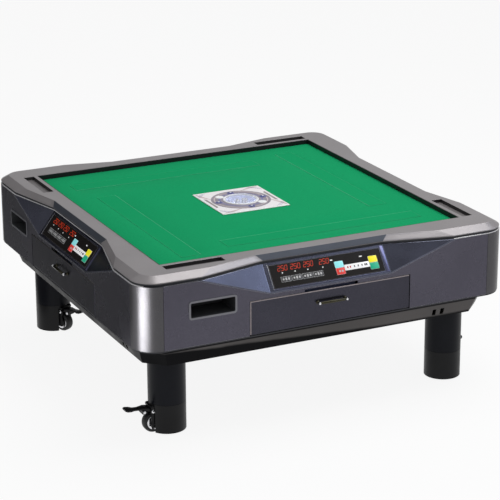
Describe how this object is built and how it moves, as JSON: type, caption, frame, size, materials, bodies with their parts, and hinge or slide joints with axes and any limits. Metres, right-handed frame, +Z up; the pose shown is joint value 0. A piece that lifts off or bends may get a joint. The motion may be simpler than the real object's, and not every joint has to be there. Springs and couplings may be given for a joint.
{
  "type": "automatic mahjong table",
  "caption": "Low square game table on caster legs with a green playing well, tile lifts, rising dice console, score displays, side bins and drawers.",
  "frame": {"origin": "on the floor under the centre of the table", "axes": "+Z up, the front side faces -Y, +X to the right of a person who faces the front side"},
  "size_m": [0.9972, 0.9972, 0.416],
  "materials": {
    "rim_grey": "satin warm grey moulding",
    "black_trim": "matt black",
    "seal_rubber": "matt black rubber",
    "board": "fibreboard",
    "green_felt": "woven green felt",
    "lift_green": "flocked green moulding",
    "panel_grey": "metallic dark blue-grey",
    "housing_blue": "metallic blue-grey",
    "display_black": "polished black",
    "key_print": "printed keypad film",
    "circuit": "circuit board",
    "bin_black": "matt black",
    "drawer_grey": "metallic dark grey",
    "drawer_inside": "dark grey moulding",
    "bright_metal": "chromed",
    "pan_brown": "brown-grey paint",
    "steel": "black painted steel",
    "hopper_white": "white moulding",
    "console_white": "white moulding with printed rings",
    "clear_dome": "clear",
    "dice_white": "polished white",
    "leg_black": "satin black",
    "caster_black": "satin black",
    "wheel_rubber": "dark rubber tread",
    "control_grey": "grey paint"
  },
  "bodies": {
    "table": {"top_rim": "rim_grey", "rim_liner": "black_trim", "body_seals": "seal_rubber", "deck_board": "board", "playing_mat": "green_felt", "side_panels": "panel_grey", "corner_posts": "panel_grey", "score_housings": "housing_blue", "score_windows": "display_black", "score_keys": "key_print", "score_boards": "circuit", "side_bin_front": "bin_black", "side_bin_right": "bin_black", "side_bin_back": "bin_black", "side_bin_left": "bin_black", "drawer_runners": "steel", "base_pan": "pan_brown", "chassis_frame": "steel", "hopper_ring": "hopper_white", "centre_post": "steel", "drum_motor": "control_grey", "control_box": "control_grey", "power_inlet": "black_trim", "leg_tubes": "leg_black"},
    "drawer_front": {"drawer_face_front": "drawer_grey", "drawer_box_front": "drawer_inside", "drawer_handle_front": "bright_metal"},
    "drawer_right": {"drawer_face_right": "drawer_grey", "drawer_box_right": "drawer_inside", "drawer_handle_right": "bright_metal"},
    "drawer_back": {"drawer_face_back": "drawer_grey", "drawer_box_back": "drawer_inside", "drawer_handle_back": "bright_metal"},
    "drawer_left": {"drawer_face_left": "drawer_grey", "drawer_box_left": "drawer_inside", "drawer_handle_left": "bright_metal"},
    "lift_front": {"tile_lift_front": "lift_green"},
    "lift_right": {"tile_lift_right": "lift_green"},
    "lift_back": {"tile_lift_back": "lift_green"},
    "lift_left": {"tile_lift_left": "lift_green"},
    "console": {"console_plate": "console_white", "console_column": "steel", "console_dome": "clear_dome"},
    "dice_spinner": {"dice_disc": "dice_white"},
    "console_button_left": {"console_button_left": "console_white"},
    "console_button_right": {"console_button_right": "console_white"},
    "drum": {"shuffle_drum": "hopper_white"},
    "drum_roller": {"drum_roller": "wheel_rubber"},
    "caster_hood_front_left": {"caster_hood_front_left": "caster_black"},
    "caster_wheel_front_left": {"caster_wheel_front_left": "wheel_rubber"},
    "caster_pedal_front_left": {"caster_pedal_front_left": "caster_black"},
    "caster_hood_front_right": {"caster_hood_front_right": "caster_black"},
    "caster_wheel_front_right": {"caster_wheel_front_right": "wheel_rubber"},
    "caster_pedal_front_right": {"caster_pedal_front_right": "caster_black"},
    "caster_hood_back_right": {"caster_hood_back_right": "caster_black"},
    "caster_wheel_back_right": {"caster_wheel_back_right": "wheel_rubber"},
    "caster_pedal_back_right": {"caster_pedal_back_right": "caster_black"},
    "caster_hood_back_left": {"caster_hood_back_left": "caster_black"},
    "caster_wheel_back_left": {"caster_wheel_back_left": "wheel_rubber"},
    "caster_pedal_back_left": {"caster_pedal_back_left": "caster_black"}
  },
  "joints": [
    {"name": "drawer_slide_front", "type": "slide", "parent": "table", "child": "drawer_front", "axis": [0, -1, 0], "range_m": [0, 0.115]},
    {"name": "drawer_slide_right", "type": "slide", "parent": "table", "child": "drawer_right", "axis": [1, 0, 0], "range_m": [0, 0.115]},
    {"name": "drawer_slide_back", "type": "slide", "parent": "table", "child": "drawer_back", "axis": [0, 1, 0], "range_m": [0, 0.115]},
    {"name": "drawer_slide_left", "type": "slide", "parent": "table", "child": "drawer_left", "axis": [-1, 0, 0], "range_m": [0, 0.115]},
    {"name": "lift_slide_front", "type": "slide", "parent": "table", "child": "lift_front", "axis": [0, 0, 1], "range_m": [-0.05, 0]},
    {"name": "lift_slide_right", "type": "slide", "parent": "table", "child": "lift_right", "axis": [0, 0, 1], "range_m": [-0.05, 0]},
    {"name": "lift_slide_back", "type": "slide", "parent": "table", "child": "lift_back", "axis": [0, 0, 1], "range_m": [-0.05, 0]},
    {"name": "lift_slide_left", "type": "slide", "parent": "table", "child": "lift_left", "axis": [0, 0, 1], "range_m": [-0.05, 0]},
    {"name": "console_lift", "type": "slide", "parent": "table", "child": "console", "axis": [0, 0, 1], "range_m": [0, 0.06]},
    {"name": "dice_spin", "type": "hinge", "parent": "console", "child": "dice_spinner", "pos_m": [0, 0, 0.39], "axis": [0, 0, 1], "continuous": true},
    {"name": "console_button_left_press", "type": "slide", "parent": "console", "child": "console_button_left", "axis": [0, 0, 1], "range_m": [-0.0015, 0], "stiffness_N_per_m": 400},
    {"name": "console_button_right_press", "type": "slide", "parent": "console", "child": "console_button_right", "axis": [0, 0, 1], "range_m": [-0.0015, 0], "stiffness_N_per_m": 400},
    {"name": "drum_spin", "type": "hinge", "parent": "table", "child": "drum", "pos_m": [0, 0, 0.262], "axis": [0, 0, 1], "continuous": true},
    {"name": "roller_spin", "type": "hinge", "parent": "table", "child": "drum_roller", "pos_m": [0.12728, 0.12728, 0.2417], "axis": [0.7071, 0.7071, 0], "continuous": true},
    {"name": "swivel_front_left", "type": "hinge", "parent": "table", "child": "caster_hood_front_left", "pos_m": [-0.375, -0.375, 0.085], "axis": [0, 0, 1], "continuous": true},
    {"name": "roll_front_left", "type": "hinge", "parent": "caster_hood_front_left", "child": "caster_wheel_front_left", "pos_m": [-0.413, -0.375, 0.025], "axis": [0, -1, 0], "continuous": true},
    {"name": "brake_front_left", "type": "hinge", "parent": "caster_hood_front_left", "child": "caster_pedal_front_left", "pos_m": [-0.417, -0.375, 0.058], "axis": [0, -1, 0], "range_deg": [0, 12]},
    {"name": "swivel_front_right", "type": "hinge", "parent": "table", "child": "caster_hood_front_right", "pos_m": [0.375, -0.375, 0.085], "axis": [0, 0, 1], "continuous": true},
    {"name": "roll_front_right", "type": "hinge", "parent": "caster_hood_front_right", "child": "caster_wheel_front_right", "pos_m": [0.40535, -0.35213, 0.025], "axis": [-0.6018, 0.7986, 0], "continuous": true},
    {"name": "brake_front_right", "type": "hinge", "parent": "caster_hood_front_right", "child": "caster_pedal_front_right", "pos_m": [0.40854, -0.34972, 0.058], "axis": [-0.6018, 0.7986, 0], "range_deg": [0, 12]},
    {"name": "swivel_back_right", "type": "hinge", "parent": "table", "child": "caster_hood_back_right", "pos_m": [0.375, 0.375, 0.085], "axis": [0, 0, 1], "continuous": true},
    {"name": "roll_back_right", "type": "hinge", "parent": "caster_hood_back_right", "child": "caster_wheel_back_right", "pos_m": [0.35716, 0.40855, 0.025], "axis": [-0.8829, -0.4695, 0], "continuous": true},
    {"name": "brake_back_right", "type": "hinge", "parent": "caster_hood_back_right", "child": "caster_pedal_back_right", "pos_m": [0.35528, 0.41208, 0.058], "axis": [-0.8829, -0.4695, 0], "range_deg": [0, 12]},
    {"name": "swivel_back_left", "type": "hinge", "parent": "table", "child": "caster_hood_back_left", "pos_m": [-0.375, 0.375, 0.085], "axis": [0, 0, 1], "continuous": true},
    {"name": "roll_back_left", "type": "hinge", "parent": "caster_hood_back_left", "child": "caster_wheel_back_left", "pos_m": [-0.35894, 0.34056, 0.025], "axis": [0.9063, 0.4226, 0], "continuous": true},
    {"name": "brake_back_left", "type": "hinge", "parent": "caster_hood_back_left", "child": "caster_pedal_back_left", "pos_m": [-0.35725, 0.33693, 0.058], "axis": [0.9063, 0.4226, 0], "range_deg": [0, 12]}
  ],
  "couplings": [
    {"joint": "lift_slide_right", "follows": "lift_slide_front", "ratio": 1},
    {"joint": "lift_slide_back", "follows": "lift_slide_front", "ratio": 1},
    {"joint": "lift_slide_left", "follows": "lift_slide_front", "ratio": 1},
    {"joint": "roller_spin", "follows": "drum_spin", "ratio": -9}
  ]
}
